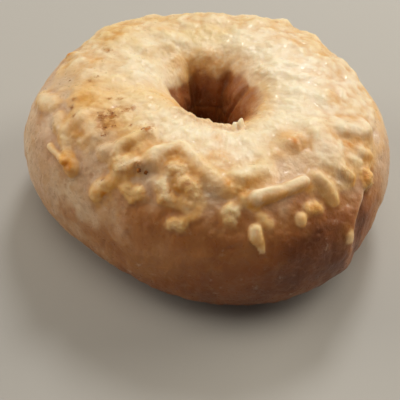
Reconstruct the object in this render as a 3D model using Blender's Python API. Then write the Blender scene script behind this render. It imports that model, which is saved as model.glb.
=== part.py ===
# Asiago bagel: a ring of dough with melted shreds of cheese fused to its crown.
# Millimetres and degrees here, metres in the scene. +Z is up, and -Y is the side of the long strip.
# A place on the ring is a ring angle, 0 at +X and counted anticlockwise from above, and a section angle,
# 0 at the outer side, 90 at the crown, 180 at the hole and -90 underneath.

import math
import random

import bmesh
import bpy
from mathutils import Vector

MM = 0.001

# Driving dimensions of the ring
OUTER_RADIUS = 50.0
HOLE_RADIUS = 5.9
HEIGHT = 37.9
BELT_SHARE = 0.46
FLAT_CUT = 1.2
CENTRE_X = 0.5
CENTRE_Y = -0.1

# The ring's middle line and half its width, where it is even
RING_RADIUS = (OUTER_RADIUS + HOLE_RADIUS) / 2
HALF_WIDTH = (OUTER_RADIUS - HOLE_RADIUS) / 2

# Unevenness of the hand-shaped ring: number of waves, depth, ring angle of a crest
OUTLINE_WAVES = [(1, 1.0, 72), (2, 1.55, -33), (3, 1.45, 54), (4, 0.25, -38), (5, 0.85, -9), (6, 0.5, 9)]
HOLE_WAVES = [(1, 0.7, 156), (2, 1.35, -72)]
HEIGHT_WAVES = [(1, 0.4, -147), (2, 0.7, 31)]

# Roundness of the section: 1 is an ellipse, less is fuller
SIDE_POWER = 0.95
HOLE_POWER = 0.70
UPPER_POWER = 0.95
LOWER_POWER = 0.72

# Fold in the outer side, where the end of the dough laps over the rest
FOLD_RING = -46.0
FOLD_SECTION = 14.0
FOLD_BOW_ABOVE = 0.02
FOLD_BOW_BELOW = 0.005
FOLD_LIP = 1.4
FOLD_STEP = 1.7
FOLD_EDGE = 2.5
FOLD_REACH = 9.0

# Creases down the wall of the hole: ring angle, depth
HOLE_CREASES = [(117, 2.0), (71, 1.6), (25, 0.9), (-28, 0.7), (-80, 0.7), (-131, 0.7), (168, 0.9)]
CREASE_WIDTH = 8.0

# Broad swellings of the dough: ring angle, section angle, radius, height
SWELLINGS = [(-33, 84, 4.5, 1.0), (-40, 71, 4.5, 1.0), (-18, 66, 4.5, 0.9), (96, 78, 5.5, 0.8),
             (69, 79, 4.0, 0.8), (-170, 51, 4.5, 0.7), (20, 70, 6.0, 0.5), (140, 75, 6.0, 0.5)]

# Melted layer of cheese over the crown: the section angles that it covers, and its lumps
CHEESE_OUTER = 46.0
CHEESE_INNER = 136.0
CHEESE_FADE = 9.0
CHEESE_DEPTH = 0.35
LUMP_COUNT = 150
LUMP_RADIUS = 2.8
LUMP_HEIGHT = 1.3
LUMP_TRIES = 4

# Shreds and nubs that stand out: ring and section angle of each end, width, height, bend to the left
SHREDS = {
    "long_strip": (-77, 58, -57, 63, 3.0, 2.3, -0.4),
    "strip_hook": (-67, 79, -75, 63, 2.6, 1.6, 0.5),
    "right_strip": (-48, 67, -50, 45, 3.1, 2.1, 0.3),
    "middle_band": (-88, 71, -68, 77, 3.4, 2.0, 0.6),
    "smooth_slope": (-101, 85, -89, 73, 3.0, 1.7, 0.4),
    "bent_ridge": (-111, 69, -104, 87, 3.2, 1.7, 0.9),
    "left_ridge": (-134, 66, -124, 89, 2.8, 1.7, -0.5),
    "far_left_strip": (-160, 57, -141, 46, 2.7, 1.7, -1.0),
    "thin_left_strip": (-151, 41, -142, 41, 1.7, 1.3, -0.4),
    "teardrop": (-75, 44, -74, 28, 2.8, 1.9, 0.2),
    "dome": (-73, 48, -72, 43, 2.4, 1.6, 0.0),
    "three_sided_crumb": (-81, 55, -83, 49, 2.8, 1.7, 0.0),
    "small_nub": (-64, 46, -63, 41, 2.0, 1.5, 0.0),
    "crumb_row": (-60, 50, -56, 48, 2.4, 1.6, 0.0),
    "golden_strip": (-125, 31, -122, 49, 2.8, 1.6, 0.4),
    "side_clump": (-116, 45, -110, 49, 3.0, 1.7, 0.0),
    "first_nub": (-104, 59, -102, 53, 2.9, 1.8, 0.0),
    "second_nub": (-96, 66, -94, 61, 2.7, 1.8, 0.0),
    "nub_bridge": (-99, 56, -95, 59, 2.3, 1.5, 0.0),
    "low_nub": (-101, 36, -96, 39, 2.6, 1.5, 0.0),
    "thin_curl": (-92, 53, -96, 43, 1.7, 1.4, 0.5),
    "right_curl": (-30, 69, -15, 56, 3.5, 2.2, -1.2),
    "small_curl": (-29, 57, -25, 45, 2.0, 1.7, -0.8),
    "round_nub": (-34, 41, -31, 36, 2.9, 2.3, 0.0),
    "middle_nub": (-41, 58, -40, 52, 2.4, 1.7, 0.0),
    "side_nub": (-49, 24, -47, 14, 2.2, 1.3, 0.0),
    "lumpy_patch": (-123, 56, -115, 58, 3.3, 1.6, 0.0),
    "left_lump": (-175, 46, -166, 56, 4.0, 1.5, 0.0),
}

# Shreds spread over the rest of the crown by a rule
SPREAD_COUNT = 44
SPREAD_TRIES = 14
SPREAD_LENGTHS = (6.0, 11.0)
SPREAD_WIDTHS = (2.5, 3.4)
SPREAD_HEIGHTS = (1.5, 2.0)
SPREAD_BENDS = (-1.2, 1.2)
SPREAD_SECTIONS = (54.0, 122.0)
SEED = 11

# How finely the solid is divided, and how a shred is rounded and sunk
RING_STEPS = 84
SECTION_STEPS = 30
CROWN_CROWDING = 0.34
SHRED_SIDES = 6
SHRED_RINGS = 5
SHRED_BLUNTNESS = 0.35
SHRED_SINK = 0.42
SHRED_NUDGE = 0.05
SHARP_EDGE = 50.0


def turned(angle):
    """The same angle between -180 and 180 degrees."""
    return (angle + 180.0) % 360.0 - 180.0


def waves(rows, ring):
    return sum(depth * math.cos(math.radians(count * (ring - crest))) for count, depth, crest in rows)


def signed_power(value, power):
    return math.copysign(abs(value) ** power, value)


def step(value, low, high):
    """Rises smoothly from 0 at low to 1 at high."""
    share = min(max((value - low) / (high - low), 0.0), 1.0)
    return share * share * (3.0 - 2.0 * share)


def bell(distance, width):
    return math.exp(-((distance / width) ** 2))


def fold(ring, section):
    """The lip on one side of the fold, and the dip on the other."""
    section = turned(section)
    bow = FOLD_BOW_ABOVE if section > FOLD_SECTION else FOLD_BOW_BELOW
    past = turned(ring - FOLD_RING - bow * (section - FOLD_SECTION) ** 2)
    lip = FOLD_LIP * math.exp(min(past, 0.0) / FOLD_REACH)
    dip = FOLD_STEP * math.exp(-max(past, 0.0) / FOLD_REACH) * step(section, -25.0, 15.0)
    share = step(past, -FOLD_EDGE, FOLD_EDGE)
    shows = step(section, -75.0, -35.0) * (1.0 - step(section, 30.0, 56.0))
    return shows * (lip * (1.0 - share) - dip * share)


def creases(ring, section):
    shows = step(section, 114.0, 138.0) * (1.0 - step(section, 150.0, 190.0))
    return -shows * sum(depth * bell(turned(ring - at), CREASE_WIDTH) for at, depth in HOLE_CREASES)


def mound(ring, section, at_ring, at_section, radius):
    """A round mound of height 1 on the surface."""
    out = RING_RADIUS + HALF_WIDTH * math.cos(math.radians(at_section))
    along = math.radians(turned(ring - at_ring)) * out
    across = math.radians(section - at_section) * HALF_WIDTH
    return bell(math.hypot(along, across), radius)


def cheese_share(section):
    """1 where the melted layer lies, 0 on bare dough."""
    return step(section, CHEESE_OUTER - CHEESE_FADE, CHEESE_OUTER + CHEESE_FADE) * (
        1.0 - step(section, CHEESE_INNER - CHEESE_FADE, CHEESE_INNER + CHEESE_FADE))


def spread_places(count, tries, sections, draw, taken=()):
    """Places on the crown, each the furthest from the others of a few random ones."""
    places = []
    points = list(taken)
    for _ in range(count):
        best_gap = -1.0
        for _ in range(tries):
            place = (draw.uniform(-180.0, 180.0), draw.uniform(*sections))
            point = dough_point(*place, lumps=False)
            gap = min(((point - other).length for other in points), default=1.0)
            if gap > best_gap:
                best_place, best_point, best_gap = place, point, gap
        places.append(best_place)
        points.append(best_point)
    return places


def dough_point(ring, section, lumps=True):
    """The point of the surface at a ring angle and a section angle, in metres."""
    swell = fold(ring, section) + creases(ring, section)
    swell += sum(rise * mound(ring, section, *place) for *place, rise in SWELLINGS)
    if lumps:
        share = cheese_share(section)
        if share > 0.0:
            lumped = sum(rise * mound(ring, section, *place) for *place, rise in LUMPS)
            swell += share * (CHEESE_DEPTH + lumped)
    outer = OUTER_RADIUS + waves(OUTLINE_WAVES, ring)
    inner = HOLE_RADIUS + waves(HOLE_WAVES, ring)
    middle, half = (outer + inner) / 2, (outer - inner) / 2
    tall = HEIGHT + waves(HEIGHT_WAVES, ring)
    belt = BELT_SHARE * tall
    aside, upward = math.cos(math.radians(section)), math.sin(math.radians(section))
    out = middle + half * signed_power(aside, SIDE_POWER if aside > 0.0 else HOLE_POWER) + swell * aside
    if upward > 0.0:
        up = belt + (tall - belt) * signed_power(upward, UPPER_POWER) + swell * upward
    else:
        up = belt + (belt + FLAT_CUT) * signed_power(upward, LOWER_POWER) + swell * upward
    angle = math.radians(ring)
    return Vector((CENTRE_X + out * math.cos(angle), CENTRE_Y + out * math.sin(angle), max(up, 0.0))) * MM


def outward(ring, section):
    """The direction straight out of the surface."""
    along = dough_point(ring + 1, section, lumps=False) - dough_point(ring - 1, section, lumps=False)
    across = dough_point(ring, section + 1, lumps=False) - dough_point(ring, section - 1, lumps=False)
    return along.cross(across).normalized()


def scattered_lumps():
    draw = random.Random(SEED)
    sections = (CHEESE_OUTER, CHEESE_INNER)
    return [(*place, LUMP_RADIUS * draw.uniform(0.7, 1.3), LUMP_HEIGHT * draw.uniform(0.4, 1.2))
            for place in spread_places(LUMP_COUNT, LUMP_TRIES, sections, draw)]


def scattered_shreds():
    """More shreds, spread evenly between those that are named."""
    draw = random.Random(SEED + 1)
    taken = [dough_point((row[0] + row[2]) / 2, (row[1] + row[3]) / 2) for row in SHREDS.values()]
    places = spread_places(SPREAD_COUNT, SPREAD_TRIES, SPREAD_SECTIONS, draw, taken)
    rows = {}
    for number, (ring, section) in enumerate(places):
        reach = draw.uniform(*SPREAD_LENGTHS) / 2
        heading = draw.uniform(0.0, math.pi)
        out = RING_RADIUS + HALF_WIDTH * math.cos(math.radians(section))
        turn = math.degrees(reach * math.cos(heading) / out)
        roll = math.degrees(reach * math.sin(heading) / HALF_WIDTH)
        rows[f"spread_{number + 1}"] = (ring - turn, section - roll, ring + turn, section + roll,
                                        draw.uniform(*SPREAD_WIDTHS), draw.uniform(*SPREAD_HEIGHTS),
                                        draw.uniform(*SPREAD_BENDS))
    return rows


def new_collection(name):
    collection = bpy.data.collections.new(name)
    bpy.context.scene.collection.children.link(collection)
    return collection


def put_in(item, collection):
    for holder in list(item.users_collection):
        holder.objects.unlink(item)
    collection.objects.link(item)


def triangulate(item):
    """Makes every face flat, because a face that is bent can't be cut cleanly."""
    mesh = bmesh.new()
    mesh.from_mesh(item.data)
    bmesh.ops.triangulate(mesh, faces=mesh.faces[:])
    mesh.to_mesh(item.data)
    mesh.free()


def add_dough(collection):
    """A torus whose rings and sections follow the dough's surface."""
    bpy.ops.mesh.primitive_torus_add(major_segments=RING_STEPS, minor_segments=SECTION_STEPS,
                                     major_radius=1.0, minor_radius=0.5)
    dough = bpy.context.object
    dough.name = "bagel"
    for vertex in dough.data.vertices:
        ring = math.atan2(vertex.co.y, vertex.co.x)
        section = math.atan2(vertex.co.z, math.hypot(vertex.co.x, vertex.co.y) - 1.0)
        section += CROWN_CROWDING * math.cos(section)
        vertex.co = dough_point(math.degrees(ring), math.degrees(section))
    triangulate(dough)
    put_in(dough, collection)
    return dough


def add_shred(name, row, collection):
    """A round-ended strip that follows the surface from one place to another, partly sunk in it."""
    from_ring, from_section, to_ring, to_section, width, height, bend = row
    run = dough_point(to_ring, to_section) - dough_point(from_ring, from_section)
    bpy.ops.mesh.primitive_uv_sphere_add(segments=SHRED_SIDES, ring_count=SHRED_RINGS, radius=1.0)
    shred = bpy.context.object
    shred.name = name

    def centre(share):
        ring = from_ring + share * (to_ring - from_ring)
        section = from_section + share * (to_section - from_section)
        up = outward(ring, section)
        left = up.cross(run).normalized()
        lift = height * (0.5 - SHRED_SINK)
        return dough_point(ring, section) + (up * lift + left * bend * math.sin(math.pi * share)) * MM, up

    for vertex in shred.data.vertices:
        share = (vertex.co.z + 1.0) / 2.0
        point, up = centre(share)
        along = (centre(share + SHRED_NUDGE)[0] - centre(share - SHRED_NUDGE)[0]).normalized()
        sideways = up.cross(along).normalized()
        radial = math.hypot(vertex.co.x, vertex.co.y)
        if radial > 0.001:
            fuller = radial ** (SHRED_BLUNTNESS - 1.0)
            point = point + sideways * vertex.co.x * fuller * width / 2 * MM
            point = point + up * vertex.co.y * fuller * height / 2 * MM
        vertex.co = point
    triangulate(shred)
    put_in(shred, collection)
    return shred


def fuse(dough, shreds):
    """Joins the shreds to the dough, then removes the collection's objects."""
    join = dough.modifiers.new("fuse_shreds", "BOOLEAN")
    join.operation = "UNION"
    join.operand_type = "COLLECTION"
    join.collection = shreds
    join.solver = "EXACT"
    bpy.context.view_layer.objects.active = dough
    bpy.ops.object.modifier_apply(modifier=join.name)
    for shred in list(shreds.objects):
        bpy.data.objects.remove(shred, do_unlink=True)
    bpy.data.collections.remove(shreds)


def keep_largest_shell(dough):
    """Fills a sealed hollow and drops a loose scrap, by keeping the largest of the joined shells."""
    bpy.ops.object.select_all(action="DESELECT")
    dough.select_set(True)
    bpy.context.view_layer.objects.active = dough
    bpy.ops.object.mode_set(mode="EDIT")
    bpy.ops.mesh.select_all(action="SELECT")
    bpy.ops.mesh.separate(type="LOOSE")
    bpy.ops.object.mode_set(mode="OBJECT")
    shells = sorted(bpy.context.selected_objects, key=lambda shell: len(shell.data.polygons))
    for scrap in shells[:-1]:
        bpy.data.objects.remove(scrap, do_unlink=True)
    shells[-1].name = "bagel"
    triangulate(shells[-1])
    return shells[-1]


def crust_material():
    material = bpy.data.materials.new("baked_crust")
    material.use_nodes = True
    shader = material.node_tree.nodes["Principled BSDF"]
    shader.inputs["Base Color"].default_value = (0.70, 0.50, 0.29, 1.0)
    shader.inputs["Roughness"].default_value = 0.55
    shader.inputs["Metallic"].default_value = 0.0
    return material


# The lumps are drawn once, because every point of the surface is raised by them
LUMPS = scattered_lumps()


def main():
    for item in list(bpy.data.objects):
        bpy.data.objects.remove(item, do_unlink=True)
    bagel_collection = new_collection("asiago_bagel")
    shred_collection = new_collection("shreds")
    dough = add_dough(bagel_collection)
    for name, row in {**SHREDS, **scattered_shreds()}.items():
        add_shred(name, row, shred_collection)
    fuse(dough, shred_collection)
    bagel = keep_largest_shell(dough)
    bagel.data.materials.clear()
    bagel.data.materials.append(crust_material())
    bagel.data.shade_smooth()
    bagel.data.set_sharp_from_angle(angle=math.radians(SHARP_EDGE))


main()
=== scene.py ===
# Asiago bagel: a baked ring of dough under melted shreds of cheese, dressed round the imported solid.
# Lengths are in millimetres and angles in degrees, until a mesh is written in metres.
# A place on the ring is a ring angle, 0 at +X and anticlockwise from above, and a section angle,
# 0 at the outer side, 90 at the crown, 180 in the hole and -90 underneath.
import math
import random

import bpy
import numpy as np
from mathutils import Matrix, Vector, noise
from mathutils.kdtree import KDTree


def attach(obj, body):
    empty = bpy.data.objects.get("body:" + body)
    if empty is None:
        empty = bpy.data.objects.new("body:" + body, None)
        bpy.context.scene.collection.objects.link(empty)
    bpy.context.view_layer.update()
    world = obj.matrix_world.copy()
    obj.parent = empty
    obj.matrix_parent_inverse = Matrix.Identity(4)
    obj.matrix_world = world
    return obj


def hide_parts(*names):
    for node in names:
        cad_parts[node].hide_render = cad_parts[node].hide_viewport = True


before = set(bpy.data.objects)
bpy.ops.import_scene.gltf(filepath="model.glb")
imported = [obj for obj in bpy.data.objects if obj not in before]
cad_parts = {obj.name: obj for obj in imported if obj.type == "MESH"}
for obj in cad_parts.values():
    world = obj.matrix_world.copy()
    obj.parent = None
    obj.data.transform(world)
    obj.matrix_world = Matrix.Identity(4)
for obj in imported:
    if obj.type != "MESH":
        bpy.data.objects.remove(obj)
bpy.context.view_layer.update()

mm = 0.001

# The ring itself, as the solid has it
ringForm = {
    "outerRadius": 50.0,
    "holeRadius": 5.9,
    "height": 37.9,
    "beltShare": 0.46,
    "flatCut": 1.2,
    "centreX": 0.5,
    "centreY": -0.1,
    "outlineWaves": [(1, 1.0, 72), (2, 1.55, -33), (3, 1.45, 54), (4, 0.25, -38), (5, 0.85, -9), (6, 0.5, 9)],
    "holeWaves": [(1, 0.7, 156), (2, 1.35, -72)],
    "heightWaves": [(1, 0.4, -147), (2, 0.7, 31)],
    "sidePower": 0.95,
    "holePower": 0.70,
    "upperPower": 0.95,
    "lowerPower": 0.72,
    "foldRing": -46.0,
    "foldSection": 14.0,
    "foldBow": (0.02, 0.005),
    "foldLip": 1.4,
    "foldStep": 1.7,
    "foldEdge": 4.2,
    "foldReach": 9.0,
    "foldDip": (-25.0, 15.0),  # section angles between which it sets in
    "foldShows": ((-75.0, -35.0), (30.0, 56.0)),  # and between which it sets in and ends
    "creases": [(117, 2.0), (71, 1.6), (25, 0.9), (-28, 0.7), (-80, 0.7), (-131, 0.7), (168, 0.9)],
    "creaseWidth": 8.0,
    "creaseShows": ((114.0, 138.0), (150.0, 190.0)),
    "swellings": [(-33, 84, 4.5, 1.0), (-40, 71, 4.5, 1.0), (-18, 66, 4.5, 0.9), (96, 78, 5.5, 0.8),
                  (69, 79, 4.0, 0.8), (-170, 51, 4.5, 0.7), (20, 70, 6.0, 0.5), (140, 75, 6.0, 0.5)],
}
middleRadius = (ringForm["outerRadius"] + ringForm["holeRadius"]) / 2
halfWidth = (ringForm["outerRadius"] - ringForm["holeRadius"]) / 2


def turned(angle):
    return (angle + 180.0) % 360.0 - 180.0


def waves(rows, ring):
    return sum(depth * np.cos(np.radians(count * (ring - crest))) for count, depth, crest in rows)


def signedPower(value, power):
    return np.copysign(np.abs(value) ** power, value)


def step(value, low, high):  # rises smoothly from 0 at low to 1 at high
    share = np.clip((value - low) / (high - low), 0.0, 1.0)
    return share * share * (3.0 - 2.0 * share)


def drop(value, high, low):  # falls smoothly from 1 to 0
    return 1.0 - step(value, high, low)


def span(value, rise, fall):  # 1 between a rise and a fall
    return step(value, *rise) * drop(value, *fall)


def mix(first, second, share):
    return first + (second - first) * share


def bell(distance, width):
    return np.exp(-(distance / width) ** 2)


def smoothMax(first, second, blend):
    share = np.maximum(blend - np.abs(first - second), 0.0) / blend
    return np.maximum(first, second) + share * share * blend / 4


def lengths(vectors):
    return np.linalg.norm(vectors, axis=-1)


def unit(vectors):
    return vectors / lengths(vectors)[..., None]


def pastFold(ring, side):  # how many degrees past the lap's edge, which is bowed
    form = ringForm
    above, below = form["foldBow"]
    bow = np.where(side > form["foldSection"], above, below)
    return turned(ring - form["foldRing"] - bow * (side - form["foldSection"]) ** 2)


def foldSwell(ring, section):  # where the end of the dough laps over the rest
    form = ringForm
    side = turned(section)
    past = pastFold(ring, side)
    lip = form["foldLip"] * np.exp(np.minimum(past, 0.0) / form["foldReach"])
    dip = form["foldStep"] * np.exp(-np.maximum(past, 0.0) / form["foldReach"]) * step(side, *form["foldDip"])
    share = step(past, -form["foldEdge"], form["foldEdge"])
    return span(side, *form["foldShows"]) * (lip * (1.0 - share) - dip * share)


def creaseSwell(ring, section):  # creases down the wall of the hole
    form = ringForm
    swell = sum(depth * bell(turned(ring - at), form["creaseWidth"]) for at, depth in form["creases"])
    return -span(section, *form["creaseShows"]) * swell


def outAt(section):  # how far from the middle axis the ring is there
    return middleRadius + halfWidth * math.cos(math.radians(section))


def mound(ring, section, atRing, atSection, radius):
    along = np.radians(turned(ring - atRing)) * outAt(atSection)
    across = np.radians(section - atSection) * halfWidth
    return bell(np.hypot(along, across), radius)


def doughSwell(ring, section):
    swell = foldSwell(ring, section) + creaseSwell(ring, section)
    return swell + sum(rise * mound(ring, section, *place) for *place, rise in ringForm["swellings"])


def ringPoints(ring, section, swell):
    form = ringForm
    outer = form["outerRadius"] + waves(form["outlineWaves"], ring)
    inner = form["holeRadius"] + waves(form["holeWaves"], ring)
    middle, half = (outer + inner) / 2, (outer - inner) / 2
    tall = form["height"] + waves(form["heightWaves"], ring)
    belt = form["beltShare"] * tall
    aside, upward = np.cos(np.radians(section)), np.sin(np.radians(section))
    side = signedPower(aside, np.where(aside > 0.0, form["sidePower"], form["holePower"]))
    rise = np.where(upward > 0.0, (tall - belt) * signedPower(upward, form["upperPower"]),
                    (belt + form["flatCut"]) * signedPower(upward, form["lowerPower"]))
    out = middle + half * side + swell * aside
    angle = np.radians(ring)
    return np.stack([form["centreX"] + out * np.cos(angle), form["centreY"] + out * np.sin(angle),
                     np.maximum(belt + rise + swell * upward, 0.0)], axis=-1)


def barePoint(ring, section):
    return ringPoints(ring, section, doughSwell(ring, section))


def bareNormals(ring, section, reach=0.6):
    alongRing = barePoint(ring + reach, section) - barePoint(ring - reach, section)
    return unit(np.cross(alongRing, barePoint(ring, section + reach) - barePoint(ring, section - reach)))


# Melted cheese on the solid: low lumps all over the crown
cheese = {
    "outer": 46.0,
    "inner": 136.0,
    "fade": 9.0,
    "depth": 0.35,
    "lumps": 150,
    "tries": 4,
    "radius": 2.8,
    "radiusShares": (0.7, 1.3),
    "height": 1.3,
    "heightShares": (0.4, 1.2),
    "seed": 11,
}
# Shreds strewn where the photo doesn't show each one
spread = {
    "count": 44,
    "tries": 14,
    "sections": (54.0, 122.0),
    "lengths": (6.0, 11.0),
    "widths": (2.5, 3.4),
    "heights": (1.5, 2.0),
    "bends": (-1.2, 1.2),
    "golden": 0.1,
    "seed": 12,
    "lineSeed": 42,
}
# Where the solid has the photo's shreds, ring and section angle, so that the strewn ones keep away from them
solidShreds = [(-67, 60.5), (-71, 71), (-49, 56), (-78, 74), (-95, 79), (-107.5, 78), (-129, 77.5),
               (-150.5, 51.5), (-146.5, 41), (-74.5, 36), (-72.5, 45.5), (-82, 52), (-63.5, 43.5),
               (-58, 49), (-123.5, 40), (-113, 47), (-103, 56), (-95, 63.5), (-97, 57.5), (-98.5, 37.5),
               (-94, 48), (-22.5, 62.5), (-27, 51), (-32.5, 38.5), (-40.5, 55), (-48, 19), (-119, 57),
               (-170.5, 51)]


def anywhere(draw, sections):  # a ring angle, and a section angle between two
    return draw.uniform(-180.0, 180.0), draw.uniform(*sections)


def spreadPlaces(form, count, sections, draw, taken=()):  # each the furthest of a few from the others
    places = []
    points = list(taken)
    for _ in range(count):
        bestGap = -1.0
        for _ in range(form["tries"]):
            place = anywhere(draw, sections)
            point = barePoint(*place)
            gap = lengths(np.array(points) - point).min() if points else math.inf
            if gap > bestGap:
                bestPlace, bestPoint, bestGap = place, point, gap
        places.append(bestPlace)
        points.append(bestPoint)
    return places


def scatterLumps():
    draw = random.Random(cheese["seed"])
    places = spreadPlaces(cheese, cheese["lumps"], (cheese["outer"], cheese["inner"]), draw)
    return [(*place, cheese["radius"] * draw.uniform(*cheese["radiusShares"]),
             cheese["height"] * draw.uniform(*cheese["heightShares"])) for place in places]


lumps = scatterLumps()


def lumpSwell(ring, section):
    outer, inner, fade = cheese["outer"], cheese["inner"], cheese["fade"]
    share = span(section, (outer - fade, outer + fade), (inner - fade, inner + fade))
    return share * (cheese["depth"] + sum(rise * mound(ring, section, *place) for *place, rise in lumps))


def strewnRow(ring, section, form, draw):  # the ends, width, height and bend of a shred that is strewn
    reach = draw.uniform(*form["lengths"]) / 2
    heading = draw.uniform(0.0, math.pi)
    turn = math.degrees(reach * math.cos(heading) / outAt(section))
    roll = math.degrees(reach * math.sin(heading) / halfWidth)
    return (ring - turn, section - roll, ring + turn, section + roll, draw.uniform(*form["widths"]),
            draw.uniform(*form["heights"]), draw.uniform(*form["bends"]))


def scatterShreds():
    draw = random.Random(spread["seed"])
    taken = [ringPoints(*place, doughSwell(*place) + lumpSwell(*place)) for place in solidShreds]
    places = spreadPlaces(spread, spread["count"], spread["sections"], draw, taken)
    return [strewnRow(*place, spread, draw) + (spread["golden"],) for place in places]


# The photo's shreds and lumps as they have melted, some of them too low or small for the solid: ring and
# section angle of each end, width, height, and for some the bend to the left, how golden, how tapered
crispShreds = {
    "longStrip": (-74, 61.5, -56.8, 64.5, 3.2, 2.1, 0.25),
    "thinLeftStrip": (-150.5, 40, -141, 40, 1.7, 1.3, -0.3, 0.3),
    "teardrop": (-75.8, 42, -75.4, 37, 3.4, 1.9, 0, 0, 0.25),
    "teardropTail": (-75.5, 38.5, -74, 28.5, 2.6, 0.7, 0, 0.25, 0.3),
    "leaf": (-71, 110, -68.5, 112.5, 1, 1.8),
    "leafTip": (-66.5, 110, -64, 111, 0.9, 2.8),
}
# Crumbly heaps, the same columns
crumblyShreds = {
    "threeSidedCrumb": (-82, 53, -82.5, 48, 3, 1.3, 0, 0.1),
    "crumbRow": (-58.5, 49.5, -55.5, 47, 1.9, 1, 0, 0.8),
    "sideClump": (-116, 46, -111.5, 48, 2.8, 1.2, 0, 0.1),
    "firstNub": (-105, 60, -103, 53, 2.7, 1.4, 0, 0.15),
    "secondNub": (-96.5, 65, -93.5, 61, 3.2, 1.5, 0, 0.1),
    "lowNub": (-99.5, 38, -97, 39, 2.3, 1.1, 0, 0.3),
    "roundNub": (-33.5, 40, -32.7, 37.5, 3, 2.1, 0, 0.7),
    "middleNub": (-41, 56, -40, 52, 2.3, 1.1, 0, 0.5),
    "lumpyPatch": (-122.5, 58, -118.5, 61, 4, 1.1, 0, 0.05),
    "roughLump": (-102.5, 73, -100.5, 71, 3, 1.3, 0, 0.1),
    "orangeCrumb": (162, 55, 162, 58, 2.1, 1, 0, 0.9),
    "nearRim": (-122, 114, -92, 117, 2.2, 1.1),
    "nearRimEnd": (-84, 117, -73, 118, 2, 1),
    "whiteBits": (33, 113, 20, 110, 2.4, 0.8),
}
# The rest have melted into the film
meltedShreds = {
    "stripHook": (-66, 79, -71, 66, 3.4, 1, 0.4),
    "rightStrip": (-51, 64, -49.5, 47, 2.8, 1.8, 0.3, 0.25),
    "middleBand": (-86, 70, -69, 77.5, 4.2, 1.4, 0.6),
    "smoothSlope": (-102, 87, -83.5, 67, 4, 2.1, 0.3),
    "bentRidge": (-114, 66, -103.5, 88, 3.8, 2.3, 0.5),
    "leftRidge": (-131, 60, -120.5, 87, 3, 2.2, -0.4, 0.2),
    "farLeftStrip": (-158, 57, -144.5, 47, 3.2, 1.6, 0.3, 0.3),
    "dome": (-72.5, 48, -71.5, 46, 2.6, 1, 0, 0.35),
    "smallNub": (-62.4, 45.5, -62.1, 44, 1.8, 1.9, 0, 0.4),
    "goldenStrip": (-126, 33, -120.5, 52, 3.7, 1.6, 0.3, 0.5),
    "nubBridge": (-100, 52, -95, 52, 2.4, 0.8, 0, 0.6),
    "thinCurl": (-91, 55, -95, 44, 1.8, 0.8, 0.5, 0.6),
    "rightCurl": (-25, 72, -17.5, 58, 5.2, 1.7, -0.6),
    "smallCurl": (-28.5, 54, -26.5, 49, 2, 1.3, 0, 0.3),
    "sideNub": (-48.5, 21, -48, 17, 2.6, 1, 0, 0.5),
    "leftLump": (-173, 47, -165, 56, 5, 1.4),
    "stripBlob": (-77, 60, -74.5, 61, 3.4, 1.4, 0, 0.15),
    "leftMound": (-149.5, 68, -140, 65, 5, 1.5),
    "endBlob": (-142, 42, -138.3, 38.8, 3.6, 2.5, 0, 0.9),
    "sliver": (-130, 56, -125.5, 64, 1, 1.2, 0.3),
    "smallBlob": (-121, 77, -119, 76, 2.3, 0.9, 0, 0.1),
    "smoothLobe": (-33, 86, -43, 66, 6.2, 0.9),
    "goldenLump": (-50, 90, -45, 88, 4.6, 1.9, 0, 0.55),
    "backBump": (104, 79, 88, 77, 6.2, 0.4),
    "farBump": (72, 79, 66, 78, 4.4, 0.35),
    "farLumpOne": (122, 55, 117, 60, 4.6, 1.1, 0, 0.1),
    "farLumpTwo": (106, 53, 100, 57, 5, 1.3, 0, 0.1),
    "farLumpThree": (93, 54, 87, 53, 4, 0.9, 0, 0.1),
    "farLumpFour": (79, 53, 74, 57, 5.2, 1.2, 0, 0.1),
    "farLumpFive": (63, 52, 60, 57, 4.2, 1.3, 0, 0.1),
    "farLumpSix": (49, 53, 43, 55, 4, 1, 0, 0.1),
    "farLumpSeven": (27, 50, 23, 56, 4.4, 1, 0, 0.1),
    "rimLump": (100, 111, 93, 114, 3.6, 1.2, 0, 0.1),
    "secondRimLump": (69, 105, 65, 109, 4, 1.2),
    "thirdRimLump": (20, 106, 14, 108, 4, 1.4),
}
# Ring angles between which the photo shows each shred, so that none is strewn there
inPhoto = (-176.0, -6.0)
print("ring and shreds laid out")

# Fine strands of cheese that are too small for the solid
strands = {
    "count": 60,
    "sections": (56.0, 108.0),
    "lengths": (0.8, 2.4),
    "widths": (1.2, 2.2),
    "heights": (0.10, 0.22),
    "bends": (-0.4, 0.4),
    "goldens": (0.0, 0.3),
    "seed": 23,
    "lineSeed": 41,
}


def scatterStrands():
    form = strands
    draw = random.Random(form["seed"])
    return [(*strewnRow(*anywhere(draw, form["sections"]), form, draw), draw.uniform(*form["goldens"]))
            for _ in range(form["count"])]


# How far each seed shifts the noise, and how it goes on from large to small
noiseForm = {"shift": (3.17, 7.31, 1.93), "falloff": 0.8, "finer": 2.1}
curdForm = {"shift": (2.71, 5.13, 4.37), "octaves": 2, "falloff": 0.55, "finer": 2.1}


def noiseAt(points, depth, size, seed, octaves):  # soft noise, up and down by about its depth
    form = noiseForm
    shift = Vector([seed * part for part in form["shift"]])
    return depth * np.array([
        noise.fractal(Vector(point) / size + shift, form["falloff"], form["finer"], octaves,
                      noise_basis="PERLIN_ORIGINAL") for point in points.tolist()])


def curdAt(points, depth, size, seed, middle=0.0):  # rounded lumps with creases between them
    form = curdForm
    shift = Vector([seed * part for part in form["shift"]])
    return depth * (np.array([
        noise.turbulence(Vector(point) / size + shift, form["octaves"], True, noise_basis="PERLIN_ORIGINAL",
                         amplitude_scale=form["falloff"], frequency_scale=form["finer"])
        for point in points.tolist()]) - middle)


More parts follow.
